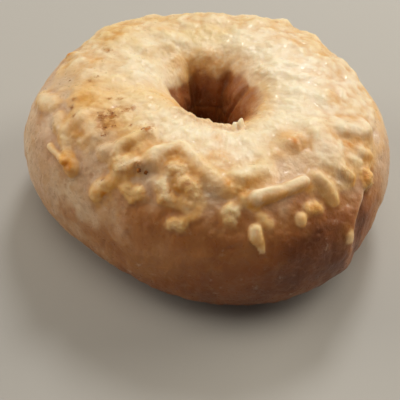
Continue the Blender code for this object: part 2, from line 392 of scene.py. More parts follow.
# How uneven each shred is along its length
unevenness = {
    "spacing": 0.25,
    "wander": 0.1,
    "wanderTurns": (4, 9),
    "width": 0.10,
    "widthTurns": (2, 6),
    "starts": (0, 6),
}


def shredLines(rows, seed):  # the middle line of each shred, with its half width and height along it
    form = unevenness
    draw = random.Random(seed)
    lines = []
    for fromRing, fromSection, toRing, toSection, width, height, *more in rows:
        bend, golden, taper = (*more, 0.0, 0.0, 0.0)[:3]
        start, end = barePoint(fromRing, fromSection), barePoint(toRing, toSection)
        share = np.linspace(0.0, 1.0, max(int(np.linalg.norm(end - start) / form["spacing"]), 2) + 1)
        ring, section = mix(fromRing, toRing, share), mix(fromSection, toSection, share)
        left = unit(np.cross(bareNormals(ring, section), end - start))
        curl = np.sin(draw.uniform(*form["wanderTurns"]) * share + draw.uniform(*form["starts"]))
        wander = bend * np.sin(math.pi * share) + form["wander"] * curl
        ripple = np.sin(draw.uniform(*form["widthTurns"]) * share + draw.uniform(*form["starts"]))
        uneven = 1.0 + form["width"] * ripple - taper * share
        lines.append({"points": barePoint(ring, section) + left * wander[:, None], "left": left,
                      "half": width / 2 * uneven, "tall": height * uneven, "golden": golden})
    return lines


def makeTree(points):
    tree = KDTree(len(points))
    for number, point in enumerate(points.tolist()):
        tree.insert(point, number)
    tree.balance()
    return tree


def within(tree, place, reach):  # which points are near a place
    return np.array([index for _, index, _ in tree.find_range(place.tolist(), reach)], dtype=int)


def nearShred(points, tree, line, reach):  # which points are near, how far and by which place of the line
    middle = line["points"][len(line["points"]) // 2]
    far = lengths(line["points"] - middle).max() + line["half"].max() + reach
    near = within(tree, middle, far)
    gaps = lengths(points[near][:, None, :] - line["points"][None, :, :])
    nearest = gaps.argmin(axis=1)
    return near, gaps[np.arange(len(near)), nearest], nearest


# How each kind of shred is laid on: how proud, how softly it joins, its skirt, how rough, how flat its top
laying = {
    "strands": (0.7, 0.2, 0.2, 0.5, 0.25),
    "spread": (0.18, 0.4, 0.6, 0.6, 0.25),
    "melted": (0.68, 0.7, 0.7, 0.5, 0.25),
    "crumbly": (0.66, 0.6, 1.2, 1.0, 0.1),
    "crisp": (0.85, 0.3, 0.3, 0.1, 0.5),
}
roughShares = {"side": 0.3, "top": 0.5}  # how much roughness shows in a shred's outline and on it


# Raises the surface under each shred, a melted strip with round ends, and marks how golden it is
def layShreds(points, tree, lines, relief, gold, crumble, kind, ground=None):
    proud, blend, skirt, rough, flatTop = laying[kind]
    ground = relief.copy() if ground is None else ground
    for line in lines:
        near, gaps, nearest = nearShred(points, tree, line, skirt)
        uneven = rough * crumble[near]
        across = gaps * (1.0 - roughShares["side"] * uneven) / (line["half"][nearest] + skirt)
        profile = drop(across, flatTop, 1.0)
        top = ground[near] + profile * line["tall"][nearest] * proud * (1.0 + roughShares["top"] * uneven)
        on = across < 1.0
        relief[near] = np.where(on, smoothMax(relief[near], top, blend), relief[near])
        gold[near] = np.where(on, mix(gold[near], line["golden"], profile), gold[near])


# Rounded curds, in heaps and strewn over the crown
curds = {
    "perArea": 2.2,  # for each square millimetre of a heap
    "radii": (0.35, 0.85),
    "heights": (0.06, 0.24),  # as shares of the heap's height
    "least": 5,
    "past": 0.7,  # how far past a heap's ends and out to its sides, as shares of its half width
    "aside": 0.8,
    "lower": 0.35,  # how much lower they are at its sides
    "power": 0.8,
    "blend": 0.5,
    "seed": 71,
    "sections": (50.0, 118.0),
    # Strewn ones: how many, radii, heights, seed. The grains come once the rest has melted together
    "fine": (1000, (1.0, 2.4), (0.08, 0.28), 72),
    "grains": (1700, (0.5, 1.5), (0.10, 0.34), 73),
}


def heapCurds(lines):
    draw = random.Random(curds["seed"])
    rows = []
    for line in lines:
        start, end = line["points"][0], line["points"][-1]
        length = np.linalg.norm(end - start)
        ahead, left = (end - start) / length, line["left"][0]
        half, tall = line["half"].mean(), line["tall"].mean()
        for _ in range(max(curds["least"], round(curds["perArea"] * (length + 2.0 * half) * 2.0 * half))):
            reach = draw.uniform(-curds["past"] * half, length + curds["past"] * half)
            aside = draw.uniform(-curds["aside"], curds["aside"]) * half
            lower = 1.0 - curds["lower"] * (aside / half) ** 2
            rows.append((start + ahead * reach + left * aside, draw.uniform(*curds["radii"]),
                         tall * lower * draw.uniform(*curds["heights"])))
    return rows


def strewnCurds(count, radii, heights, seed):
    draw = random.Random(seed)
    return [(barePoint(*anywhere(draw, curds["sections"])), draw.uniform(*radii), draw.uniform(*heights))
            for _ in range(count)]


def layCurds(points, tree, rows, relief, proud=1.0):
    ground = relief.copy()
    for place, radius, height in rows:
        near = within(tree, place, radius)
        if len(near):
            away = lengths(points[near] - place) / radius
            top = ground[near] + proud * height * np.maximum(1.0 - away ** 2, 0.0) ** curds["power"]
            relief[near] = smoothMax(relief[near], top, min(curds["blend"], height))


def haloMask(points, lines, reach):  # 1 beside a shred, fading out from its edge
    tree = makeTree(points)
    mask = np.zeros(len(points))
    for line in lines:
        near, gaps, nearest = nearShred(points, tree, line, 2.0 * reach)
        outside = np.maximum(gaps - line["half"][nearest], 0.0)
        mask[near] = np.maximum(mask[near], bell(outside, reach))
    return mask


def named(name):  # what was added last, under this name
    piece = bpy.context.object
    piece.name = name
    piece.data.name = name
    return piece


def addSheet(name, around, across):  # a flat grid, its sides go round the ring and round its section
    bpy.ops.mesh.primitive_grid_add(x_subdivisions=around, y_subdivisions=across, size=2.0)
    piece = named(name)
    flat = np.zeros(len(piece.data.vertices) * 3)
    piece.data.vertices.foreach_get("co", flat)
    flat = flat.reshape(-1, 3)
    return piece, flat[:, 0] * 180.0, flat[:, 1] * 180.0


def crowded(turn, share, towards):  # angles all round, closer together near one of them
    return turn + np.degrees(share * np.sin(np.radians(turn - towards - 180.0)))


weld = 0.002 * mm


def rollUp(piece, ring, section, lift, masks):  # lays the grid round the ring and joins its edges
    points = barePoint(ring, section) + bareNormals(ring, section) * lift[:, None]
    points[:, 2] = np.maximum(points[:, 2], 0.0)
    for name, values in masks.items():
        attribute = piece.data.attributes.new(name, "FLOAT", "POINT")
        attribute.data.foreach_set("value", np.clip(values, 0.0, 1.0).astype(np.float32))
    piece.data.vertices.foreach_set("co", (points * mm).astype(np.float32).ravel())
    bpy.ops.object.mode_set(mode="EDIT")
    bpy.ops.mesh.select_all(action="SELECT")
    bpy.ops.mesh.remove_doubles(threshold=weld)
    bpy.ops.object.mode_set(mode="OBJECT")
    bpy.ops.object.shade_smooth()


passReach = 0.2  # how far one pass of the softening carries


def gridShares(points, around):  # how much a pass mixes each point with the next row and the next column
    grid = points.reshape(-1, around + 1, 3)
    gaps = [lengths(np.roll(grid, -1, axis=axis) - grid) for axis in (0, 1)]
    return [np.minimum(passReach / np.maximum(gap, passReach), 1.0) ** 2 for gap in gaps]


def blurred(values, shares, width):  # softens values on a grid whose rows run round the ring
    down, along = shares
    grid = values.reshape(down.shape)
    for _ in range(math.ceil(2.0 * (width / passReach) ** 2)):
        wide = np.column_stack([grid[:, -2], grid, grid[:, 1]])
        grid = grid + along * ((wide[:, :-2] + wide[:, 2:]) / 4.0 - grid / 2.0)
        tall = np.vstack([grid[-2], grid, grid[1]])
        grid = grid + down * ((tall[:-2] + tall[2:]) / 4.0 - grid / 2.0)
    return grid.ravel()


lineSeed = 43
crispLines = shredLines(crispShreds.values(), lineSeed)
crumblyLines = shredLines(crumblyShreds.values(), lineSeed)
meltedLines = shredLines(meltedShreds.values(), lineSeed)

# Bare dough
dough = {
    "around": 360,
    "across": 110,
    "underCrowding": 0.30,  # more rows underneath
    # Noises: depth, blob size, seed, octaves
    "uneven": (0.35, 11.0, 5, 2),
    "wrinkles": (0.20, 3.2, 6, 2),
    "wrinkleSquash": 0.7,
    "cells": (0.18, 3.0, 8, 0.4),  # the last is what counts as level
    "grain": (0.08, 1.1, 7, 2),
    "pleats": (0.45, 1.5, 9, 1),  # folds that run down into the hole
    "pleatRound": 5.0,
    "pleatDown": 22.0,
    "flatFrom": (50.0, 75.0),  # degrees below the outer side
    "inHole": ((116.0, 142.0), (200.0, 235.0)),
    "hiddenFade": (6.0, 16.0),
    "haloReach": 2.4,
}
# Painted shade on the dough, at the front and under the cheese where shadow falls: ring angle, section angle,
# radius, how much
paintedShadeSpots = [(-55, 24, 9.0, 0.55), (-66, 24, 10.0, 0.3), (-40, 19, 5.5, 0.5), (-109, 34, 4.5, 0.3),
             (-86, 34, 5.0, 0.25), (-79, 51, 4.0, 0.35), (-60, 54, 4.0, 0.35), (-98, 36, 5.0, 0.25),
             (-98, 47, 4.0, 0.3)]
# How brown the dough is, from 0 pale to 1 brown: its bake, browner underneath and in the hole, with painted
# shade and painted light laid on by place
bakeAndShade = {
    # By section angle, the hole at 180
    "stops": [(0, 0.46), (30, 0.22), (55, 0.05), (100, 0.05), (116, 0.30), (130, 0.6), (148, 0.85),
              (175, 1.0), (240, 0.95), (290, 0.8), (325, 0.66), (360, 0.46)],
    # Painted shade on the far wall of the hole, which faces away from the light
    "shadedFarWall": (105.0, 20.0),  # ring angle and reach of the wall that is brown from higher up
    "shadedFarWallRise": 6.0,
    "wallFall": 5.0,
    "wall": ((100.0, 118.0), (150.0, 175.0)),
    "outside": (-0.3, 0.2),
    "least": 0.45,
    # Painted shade on the front, which lies in shadow
    "shadedFront": (-68.0, 1.3),  # ring angle, how much browner
    # Painted shade on the front near the lap: ring angle, reach, how much browner
    "shadedNearFold": (-52.0, 16.0, 0.35),
    # Painted light: the lit right side is paler. Ring angle, reach, how much
    "right": (-8.0, 26.0, -0.45),
    # Painted shade in the valley beside the lap, which lies in shadow
    "lapValleyShade": (4.0, 5.0, 1.0),  # beside the lap: degrees past its edge, reach, how much
    "lapValleyShadeSpan": ((-45.0, -10.0), (30.0, 50.0)),
    # Painted highlight along the lap's lip, which catches the light: degrees past its edge, reach, how much
    # lighter
    "lip": (-2.4, 1.8, 0.3),
    "lipSpan": ((-35.0, -5.0), (30.0, 50.0)),
}


def doughRelief(points, ring, section):
    turn = section % 360.0
    squashed = points * [1.0, 1.0, dough["wrinkleSquash"]]
    angle, out = np.radians(ring), dough["pleatRound"]
    down = np.stack([out * np.cos(angle), out * np.sin(angle), turn / dough["pleatDown"]], axis=-1)
    inHole = span(turn, *dough["inHole"])
    relief = noiseAt(points, *dough["uneven"]) + noiseAt(squashed, *dough["wrinkles"])
    relief = relief + curdAt(points, *dough["cells"]) * (1.0 - inHole) + noiseAt(points, *dough["grain"])
    return (relief + noiseAt(down, *dough["pleats"]) * inHole) * drop(-turned(section), *dough["flatFrom"])


def nearby(angle, at, reach, more):  # so much more at one angle, less and less away from it
    return more * bell(turned(angle - at), reach)


# The bake, with painted shade where the dough lies in shadow and painted light where it is lit
def bakeAndShadeMask(ring, section):
    turn, side = section % 360.0, turned(section)
    # Painted shade: the far wall of the hole turns brown from higher up
    shift = nearby(ring, *bakeAndShade["shadedFarWall"], bakeAndShade["shadedFarWallRise"]) - bakeAndShade["wallFall"]
    share = np.interp(turn + shift * span(turn, *bakeAndShade["wall"]), *zip(*bakeAndShade["stops"]))
    outside = step(np.cos(np.radians(section)), *bakeAndShade["outside"])
    # Browner towards the front: painted shade
    frontRing, browner = bakeAndShade["shadedFront"]
    towards = bakeAndShade["least"] + browner * np.maximum(np.cos(np.radians(ring - frontRing)), 0.0) ** 2
    # Painted shade near the lap, and painted light on the right
    towards = towards + nearby(ring, *bakeAndShade["shadedNearFold"]) + nearby(ring, *bakeAndShade["right"])
    past = pastFold(ring, side)
    # Painted shade in the valley beside the lap
    lapValleyShade = nearby(past, *bakeAndShade["lapValleyShade"]) * span(side, *bakeAndShade["lapValleyShadeSpan"])
    # Painted highlight along the lap's lip
    lip = nearby(past, *bakeAndShade["lip"]) * span(side, *bakeAndShade["lipSpan"])
    # Painted shade at the front and under the cheese
    paintedShade = sum(more * mound(ring, side, *place) for *place, more in paintedShadeSpots)
    return np.maximum(share * mix(1.0, towards, outside) + paintedShade - lip, lapValleyShade)


def makeBase():  # the underside and the wall of the hole, the rest of it lies hidden under the crust
    piece, ring, turn = addSheet("bagelBase", dough["around"], dough["across"])
    section = crowded(turn, dough["underCrowding"], -90.0)
    base = barePoint(ring, section)
    low, high = crust["sections"]
    side = (section + 90.0) % 360.0 - 90.0
    near, far = dough["hiddenFade"]
    hidden = span(side, (low + near, low + far), (high - far, high - near))
    lift = doughRelief(base, ring, section) - crust["hiddenDepth"] * hidden
    rollUp(piece, ring, section, lift, {"bakeAndShade": bakeAndShadeMask(ring, section), "halo": np.zeros(len(lift))})
    return piece


# The crust, which is all that shows of the dough from above and from the sides, and the cheese melted into it
crust = {
    "around": 555,
    "sections": (-66.0, 168.0),
    "rowStops": [(28, 41), (82, 110), (128, 158)],  # section angle, rows up to there
    "topRows": 174,
    "rows": 180,  # the last of them close it underneath, inside the base
    "frontCrowding": 0.40,
    "hiddenDepth": 1.0,
    "underDepth": 4.0,
    "tuck": 0.5,
    "startFade": 8.0,
    "endFade": (10.0, 2.0),
}


bagelBase = makeBase()
print("base shaped")

# Where the melted film ends on the outer side and in the hole: ring angle, section angle
filmEdge = [(-180, 60), (-172, 58), (-166, 68), (-157, 66), (-151, 58), (-140, 56), (-126, 58), (-115, 58),
            (-107, 62), (-99, 62), (-90, 62), (-83, 64), (-76, 66), (-64, 68), (-58, 62), (-53, 54),
            (-44, 45), (-32, 40), (-16, 35), (1, 30), (30, 34), (70, 38), (110, 42), (140, 50), (165, 62)]
holeEdge = [(-180, 132), (-165, 138), (-156, 143), (-145, 140), (-110, 132), (-80, 128), (-48, 122),
            (-16, 118), (1, 120), (22, 125), (44, 126), (68, 127), (84, 133), (96, 134), (110, 131),
            (128, 143), (146, 135), (165, 129)]
# Windows in the film through which bare dough shows: ring angle, section angle, radius
bareSpots = [(-61, 75, 3.6), (-55, 76, 3.6), (-177, 64, 4), (-131, 63, 3.2), (-110, 61, 2.6),
             (-158, 52, 2.5), (-64, 68, 2), (-43, 56, 1.6), (-88, 64, 2.4), (-168, 66, 2.2), (-14, 48, 2)]
# Golden patches, toasted ones and painted golden shade under lumps: ring angle, section angle, radius,
# strength
goldSpots = [(-49, 86.5, 2.2, 1), (-46, 86.5, 3, 0.75), (-30, 64, 2, 1), (-25, 59, 1.5, 0.9),
             (-82.5, 69, 1.9, 0.95), (-84, 88, 1.6, 0.7), (-88, 88, 1.3, 0.6), (-84.5, 98, 1.8, 0.5),
             (-102, 76, 2, 0.6), (-58, 86, 2, 0.7), (170, 83, 2.2, 0.7), (162, 56, 1.4, 0.9),
             (-160, 77, 2.6, 0.5), (-170, 83, 2, 0.4), (-138, 76, 2.2, 0.7), (-164, 45, 1.6, 0.8),
             (-27, 62, 1.8, 0.8), (-138, 40, 1.5, 1), (-122.5, 36, 2.8, 1), (-124.5, 28, 2, 0.8),
             (-117, 28, 1.6, 0.5), (-117, 20, 1.4, 0.4), (-108, 51, 1.8, 0.5), (-100, 57, 1.6, 0.6),
             (-91, 81, 2, 0.4), (-82, 90, 1.6, 0.4), (-86, 97, 1.6, 0.3), (-64, 53, 2.4, 0.5),
             (-50, 52, 1.8, 0.6), (-34, 40, 1.4, 0.8), (-82, 61, 1.8, 0.4), (-106, 73, 2.6, 0.5),
             (-101, 77, 2, 0.7), (-140, 60, 2.2, 0.6), (-139.5, 40, 2.4, 1), (-144, 60, 2.4, 0.9),
             (-112, 68, 2, 0.6), (-92, 69, 2, 0.7), (-78, 66, 2, 0.5)]
# Dark toasted spots: ring angle, section angle, radius, and for some how much larger their crumbs are
charSpots = [(-113.8, 63, 0.45, 2.6), (-111.3, 62, 0.35, 2.2), (-121, 86, 0.5, 1.5), (-125, 45, 0.3),
             (-131, 84, 0.3), (-123, 90, 0.3), (-142, 82, 1.1), (-139, 73, 0.9), (-144, 79, 0.9),
             (-143, 76, 0.7), (-145, 82, 0.6), (-141, 80, 0.7), (-137, 77, 0.5), (-136, 69, 0.6),
             (-146, 88, 0.6), (-142, 91, 0.6), (-152, 92, 0.3), (-154, 89, 0.25), (-158, 67, 0.4),
             (-161, 71, 0.3), (-152, 65, 0.4), (160, 86, 0.6), (-176, 69, 0.25), (-174, 64, 0.25),
             (-174, 87, 0.25), (-172, 83, 0.25)]

film = {
    "depth": 0.30,
    # Noises: depth, blob size, seed, octaves
    "curds": (0.14, 3.0, 32),
    "grain": (0.08, 1.2, 33),
    "rough": (1.0, 1.9, 34, 2),
    "heapRough": (0.14, 0.8, 35, 2),
    "skin": (0.09, 0.8, 44, 2),
    "edgeWobble": (1.9, 5.0, 31, 3),
    "backWobble": (2.2, 10.0, 37, 3),  # more of it where the photo doesn't show the edge
    "backAt": (80.0, 70.0),  # ring angle and reach of that part
    "backEnds": (70.0, 90.0),
    "edgeSoftness": 2.0,
    "holeSoftness": 5.5,
    "lumpShare": 0.50,
    "frontLumpShare": 0.20,
    "frontAt": (-85.0, 70.0),
    "frontEnds": (85.0, 105.0),
    "strewnLess": 0.85,  # how much lower the strewn shreds are towards the hole
    "strewnEnds": (96.0, 116.0),
    "strandCalm": 0.60,  # how much smoother the melted strands are than the film round them
    "strandRise": (0.1, 0.6),
    "crumblyProud": 0.72,
    "heapRise": (0.15, 0.8),
    "crispUnder": 0.7,  # how far the ground is softened under a crisp strip
    "crispRise": (0.05, 0.5),
    "melt": 0.38,  # how far it has run together
    "lastMelt": 0.15,
    "opaqueDepth": 0.7,
    "holeCover": 0.15,
    "valleyReach": 1.1,
    "valleyFall": (-0.3, 0.2),
    "crownFrom": (76.0, 98.0),
    # Painted golden shade in the valleys between lumps
    "valleyShadeGold": 0.78,  # how golden the valleys are, at the sides and on the crown
    "crownShadeGold": 0.13,
    "footGold": 0.25,  # how golden the cheese is that lies low
    "footRise": (0.3, 1.3),
    "footEnds": (66.0, 82.0),
    "lowGold": 0.45,  # and at its outer edge
    "lowEnds": (40.0, 56.0),
    "backLess": 0.7,  # how much less golden its outer edge is at the back
    # Painted golden shade on the sides turned from the light
    "leeShadeGold": 0.75,  # how golden the sides are that fall away to the outside, and from what fall on
    "leeFall": 0.9,
    "leeReach": 0.45,
    "leeRows": 3,
    "leeEnds": (85.0, 100.0),
    "holeGold": 0.72,
    "holeFrom": (98.0, 126.0),
    # Golden patches on bare dough: oil stain, and painted shade under lumps
    "oilStainAndShade": 0.5,  # how much the golden patches show on bare dough
    "paleRight": (30.0, 38.0, 0.5),  # a less golden wall of the hole: ring angle, reach, how much
    "paleLeft": (170.0, 36.0, 0.85),
    "stripCalm": 0.8,  # how much of the dough's own unevenness the strips and the film hide
    "filmCalm": 0.5,
    "goldReach": 0.35,
    "hollowReach": 0.4,
    # The outer edge of the cheese is warmer: toasted, and a painted warm tone of its shaded side. How much,
    # where it fades
    "warmEdge": 0.9,
    "warmEnds": (44.0, 60.0),
    "milkyStrips": 0.8,
    "windowReach": 1.2,
    "charReach": 2.0,
}
# Where the cheese is warmer: more toasted, and at the front a painted warm tone of its shaded slopes. Ring
# angle, section angle, radius, strength
warmSpots = [(-155, 74, 13, 0.75), (-125, 62, 10, 0.6), (-95, 58, 9, 0.6), (-62, 56, 8, 0.5),
             (-45, 48, 8, 0.6), (-20, 50, 8, 0.4), (175, 60, 9, 0.5), (40, 55, 9, 0.4), (95, 52, 10, 0.5),
             (135, 60, 9, 0.4)]
# Where it is whiter, the same columns
milkySpots = [(-118, 60, 3, 0.6), (-125, 50, 3, 0.4), (-102, 57, 2.4, 0.5), (-75, 41, 2.2, 1),
              (-66, 64, 3, 0.7), (30, 118, 9, 0.8), (-169, 52, 4.5, 0.35), (-145, 66, 4, 0.4),
              (0, 84, 13, 0.9), (22, 98, 9, 0.9), (-38, 78, 6, 0.8), (-22, 66, 5, 0.5), (-80, 104, 8, 0.5),
              (-170, 100, 7, 0.4), (55, 80, 9, 0.5)]


def edgeAt(rows, ring):
    return np.interp(ring, *zip(*rows), period=360.0)


def spotMask(ring, section, rows, soft=1.0):
    mask = np.zeros(len(ring))
    for atRing, atSection, radius, *strength in rows:
        spot = mound(ring, section, atRing, atSection, radius * soft)
        mask = np.maximum(mask, spot * (strength[0] if strength else 1.0))
    return mask


def filmCover(base, ring, section, unseen):  # where the film lies, and how far it reaches into the hole
    wobble = noiseAt(base, *film["edgeWobble"]) + unseen * noiseAt(base, *film["backWobble"])
    degree = math.radians(halfWidth)  # the length of one degree across the ring
    fromOutside = (section - edgeAt(filmEdge, ring)) * degree + wobble
    fromHole = (edgeAt(holeEdge, ring) - section) * degree + wobble
    soft = film["edgeSoftness"] * (1.0 + unseen)
    intoHole = step(fromHole, -film["holeSoftness"], film["holeSoftness"])
    covered = step(fromOutside, -soft, soft) * intoHole
    return covered * (1.0 - spotMask(ring, section, bareSpots)), intoHole


def filmRelief(base, ring, section):
    ahead = nearby(ring, *film["frontAt"], 1.0) * drop(section, *film["frontEnds"])
    lumpShare = mix(film["lumpShare"], film["frontLumpShare"], ahead)
    relief = film["depth"] + lumpSwell(ring, section) * lumpShare
    return relief + curdAt(base, *film["curds"]) + curdAt(base, *film["grain"])


# Lays the shreds and curds on the points at the top, from what melted most to what kept its shape
def meltCheese(base, section, shares, top, covered, relief, gold):
    points = base[top]
    tree = makeTree(points)
    rough = noiseAt(base, *film["rough"])[top]
    topRelief, topGold = relief[top], gold[top]
    layCurds(points, tree, strewnCurds(*curds["fine"]), topRelief)
    strandLines = shredLines(scatterStrands(), strands["lineSeed"])
    layShreds(points, tree, strandLines, topRelief, topGold, rough, "strands")
    unseenRows = [row for row in scatterShreds() if not inPhoto[0] < (row[0] + row[2]) / 2 < inPhoto[1]]
    layShreds(points, tree, shredLines(unseenRows, spread["lineSeed"]), topRelief, topGold, rough, "spread")
    calm = 1.0 - film["strewnLess"] * step(section[top], *film["strewnEnds"])
    topRelief = mix(relief[top], topRelief, calm)
    strewn = topRelief.copy()
    layShreds(points, tree, meltedLines, topRelief, topGold, rough, "melted")
    smoother = 1.0 - film["strandCalm"] * step(topRelief - strewn, *film["strandRise"])
    relief[top] = topRelief
    relief = blurred(relief, shares, film["melt"])

    topRelief = relief[top]
    layCurds(points, tree, strewnCurds(*curds["grains"]), topRelief)
    relief[top] += (topRelief - relief[top]) * covered[top] * smoother
    melted, topRelief = relief.copy(), relief[top]
    layShreds(points, tree, crumblyLines, topRelief, topGold, rough, "crumbly")
    layCurds(points, tree, heapCurds(crumblyLines), topRelief, film["crumblyProud"])
    relief[top] = topRelief
    heaped = step(relief - melted, *film["heapRise"])
    relief += heaped * noiseAt(base, *film["heapRough"])

    loose, topRelief = relief.copy(), relief[top]
    smooth = blurred(relief, shares, film["crispUnder"])[top]
    layShreds(points, tree, crispLines, topRelief, topGold, rough, "crisp", smooth)
    relief[top], gold[top] = topRelief, np.maximum(topGold, gold[top])
    strips = step(relief - loose, *film["crispRise"])
    return blurred(relief, shares, film["lastMelt"]), heaped, strips


# The cheese is golden where it lies low, ends or runs into the hole, and painted golden shade where it falls
# away to the outside, on the side turned from the light
def goldenSides(ring, section, shares, onTop, relief, strips, lessBehind, gold):
    rows = blurred(relief, shares, film["leeReach"]).reshape(-1, crust["around"] + 1)
    falls = (np.roll(rows, -film["leeRows"], axis=0) - np.roll(rows, film["leeRows"], axis=0)).ravel()
    falls = falls * drop(section, *film["leeEnds"]) / film["leeFall"]
    pale = np.maximum(nearby(ring, *film["paleRight"]), nearby(ring, *film["paleLeft"]))
    return np.maximum.reduce([
        gold,
        # Painted golden shade on the sides that fall away to the outside
        film["leeShadeGold"] * np.clip(falls, 0.0, 1.0) * onTop,
        film["footGold"] * drop(relief, *film["footRise"]) * drop(section, *film["footEnds"]),
        film["lowGold"] * drop(section, *film["lowEnds"]) * (1.0 - strips) * lessBehind,
        film["holeGold"] * step(section, *film["holeFrom"]) * (1.0 - pale)])


def makeCrust():
    piece, ring, turn = addSheet("bagelCrust", crust["around"], crust["rows"])
    ring = crowded(ring, crust["frontCrowding"], -90.0)
    row = np.round((turn % 360.0) / 360.0 * crust["rows"]) % crust["rows"]
    low, high = crust["sections"]
    stops = [(low, 0), *crust["rowStops"], (high, crust["topRows"]), (low, crust["rows"])]
    section = np.interp(row, [stop[1] for stop in stops], [stop[0] for stop in stops])
    onTop = row <= crust["topRows"]
    base = barePoint(ring, section)
    shares = gridShares(base, crust["around"])

    unseen = nearby(ring, *film["backAt"], 1.0) * drop(section, *film["backEnds"])
    covered, intoHole = filmCover(base, ring, section, unseen)
    relief = onTop * covered * filmRelief(base, ring, section)
    gold = spotMask(ring, section, goldSpots)
    # Golden patches on bare dough: oil stain, and painted shade under lumps
    stainedAndShaded = film["oilStainAndShade"] * gold
    relief, heaped, strips = meltCheese(base, section, shares, np.flatnonzero(onTop), covered, relief, gold)
    covers = np.maximum(heaped, strips)
    thick = step(relief, 0.0, film["opaqueDepth"]) * mix(film["holeCover"], 1.0, intoHole)
    thick = np.maximum.reduce([thick, covers, stainedAndShaded])
    # Painted shade in the hollows between lumps, strong at the sides and faint on the crown
    valleys = drop(relief - blurred(relief, shares, film["valleyReach"]), *film["valleyFall"])
    hollowShade = valleys * mix(film["valleyShadeGold"], film["crownShadeGold"], step(section, *film["crownFrom"]))
    lessBehind = 1.0 - film["backLess"] * unseen
    gold = goldenSides(ring, section, shares, onTop, relief, strips, lessBehind, gold)
    relief += thick * (1.0 - strips) * noiseAt(base, *film["skin"])

    fade, start = crust["endFade"], crust["startFade"]
    shows = span(section, (low, low + start), (high - fade[0], high - fade[1]))
    calmed = 1.0 - np.maximum(film["stripCalm"] * strips, film["filmCalm"] * covered)
    raised = relief + doughRelief(base, ring, section) * calmed - crust["tuck"] * (1.0 - shows)
    # Warmer outer edge: toast, and a painted warm tone of the shaded side
    warmEdge = film["warmEdge"] * drop(section, *film["warmEnds"]) * lessBehind
    rollUp(piece, ring, section, np.where(onTop, raised, -crust["underDepth"]), {
        "gold": blurred(gold, shares, film["goldReach"]),
        "hollowShade": blurred(hollowShade, shares, film["hollowReach"]),
        "cover": thick,
        "warm": np.maximum(spotMask(ring, section, warmSpots), warmEdge),
        "heap": heaped * (1.0 - strips),
        "milky": np.maximum(spotMask(ring, section, milkySpots), film["milkyStrips"] * strips),
        "window": spotMask(ring, section, bareSpots, film["windowReach"]) * (1.0 - covers),
        "char": spotMask(ring, section, charSpots, film["charReach"]),
        "bakeAndShade": bakeAndShadeMask(ring, section),
        "halo": haloMask(base, crispLines + crumblyLines + meltedLines, dough["haloReach"]),
    })
    return piece


bagelCrust = makeCrust()
print("crust shaped, with its cheese")

# Browned crumbs, a few for each dark spot
crumbs = {
    "size": 0.27,
    "sink": 0.68,
    "count": 7,  # for each millimetre of a spot's radius
    "scatter": 0.8,  # as a share of a spot's radius
    "roughness": 0.35,
    "roughTurns": 1.3,
    "sizes": (0.6, 1.25),
    "stretch": ((0.7, 1.4), (0.7, 1.4), (0.6, 1.0)),
    "above": 1.2,
    "shift": 50.0,  # how far apart their shapes are taken from the noise
    "seed": 7,
}


def makeCrumbs():
    vertices = bagelCrust.data.vertices
    tree = makeTree(np.array([vertex.co for vertex in vertices]))
    draw = random.Random(crumbs["seed"])
    made = []
    for atRing, atSection, radius, *larger in charSpots:
        grown = larger[0] if larger else 1.0
        for _ in range(max(1, round(crumbs["count"] * radius))):
            ring = atRing + math.degrees(draw.gauss(0.0, crumbs["scatter"]) * radius / outAt(atSection))
            section = atSection + math.degrees(draw.gauss(0.0, crumbs["scatter"]) * radius / halfWidth)
            raised = Vector(barePoint(ring, section) + crumbs["above"] * bareNormals(ring, section)) * mm
            _, index, _ = tree.find(raised)
            size = crumbs["size"] * grown * draw.uniform(*crumbs["sizes"]) * mm
            centre = vertices[index].co - vertices[index].normal * size * crumbs["sink"]
            bpy.ops.mesh.primitive_ico_sphere_add(subdivisions=2, radius=size)
            crumb = bpy.context.object
            stretch = Vector([draw.uniform(*shares) for shares in crumbs["stretch"]])
            shift = Vector((draw.random(), draw.random(), draw.random())) * crumbs["shift"]
            for vertex in crumb.data.vertices:
                rough = noise.noise(vertex.co / size * crumbs["roughTurns"] + shift)
                vertex.co = centre + vertex.co * stretch * (1.0 + crumbs["roughness"] * rough)
            made.append(crumb)
    for crumb in made:
        crumb.select_set(True)
    bpy.context.view_layer.objects.active = made[0]
    bpy.ops.object.join()
    bpy.ops.object.shade_smooth()
    return named("brownedCrumbs")


brownedCrumbs = makeCrumbs()
print("browned crumbs placed")


class Field:  # one socket of a shader, so that maths on it is written as an expression
    def __init__(self, shading, socket):
        self.shading, self.socket = shading, socket

    def maths(self, operation, other):
        return self.shading.add("ShaderNodeMath", {"operation": operation}, {0: self, 1: other})

    def __add__(self, other):
        return self.maths("ADD", other)

    def __sub__(self, other):
        return self.maths("SUBTRACT", other)

    def __mul__(self, other):
        return self.maths("MULTIPLY", other)

    def __pow__(self, other):
        return self.maths("POWER", other)


